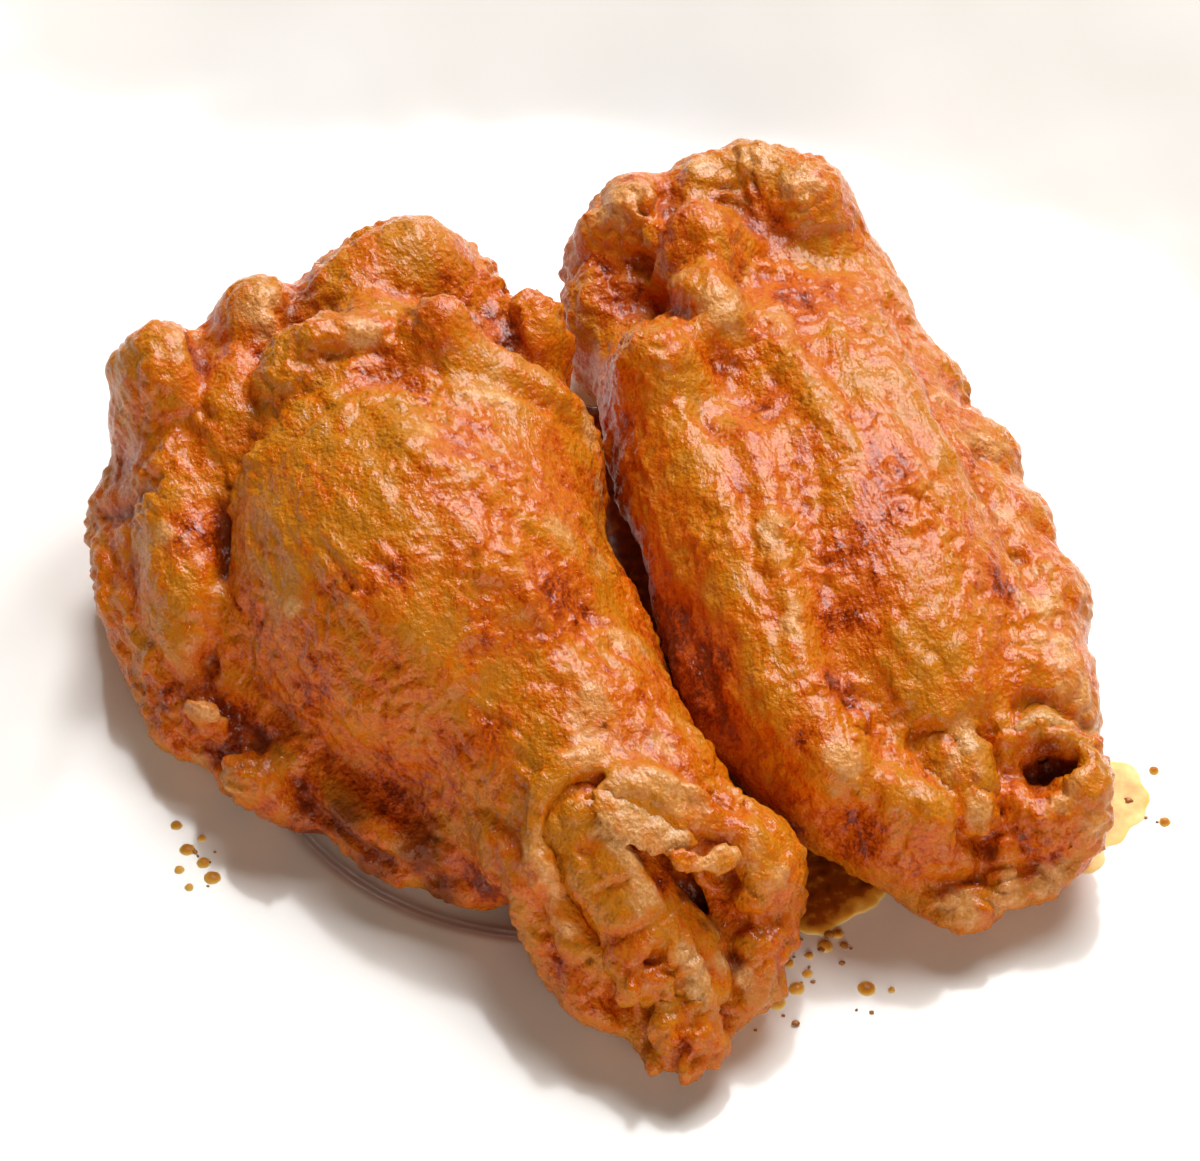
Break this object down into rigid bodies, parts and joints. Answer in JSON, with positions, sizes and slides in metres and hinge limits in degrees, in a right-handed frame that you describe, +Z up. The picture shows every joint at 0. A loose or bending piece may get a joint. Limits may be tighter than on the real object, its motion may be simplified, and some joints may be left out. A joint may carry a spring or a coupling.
{
  "type": "chicken wings serving",
  "caption": "Round white plate with a shallow centre ring, holding a sauced chicken drumette and a sauced wing flat whose bone ends show at the lower joints.",
  "frame": {"origin": "on the surface the plate stands on, under the middle of the plate", "axes": "+Z up, out of the plate; +Y away from the viewer, along which both wing pieces point; +X to the right, from the drumette to the flat"},
  "size_m": [0.216, 0.216, 0.0352],
  "materials": {
    "white_glaze": "glossy glaze",
    "sauced_skin": "wet orange-red sauce over fried skin",
    "sauced_bone": "bone and cartilage under thin sauce"
  },
  "bodies": {
    "root": {"plate": "white_glaze", "drumette": "sauced_skin", "drumette_bone": "sauced_bone", "flat": "sauced_skin", "flat_ulna": "sauced_bone", "flat_radius": "sauced_bone"}
  },
  "joints": []
}
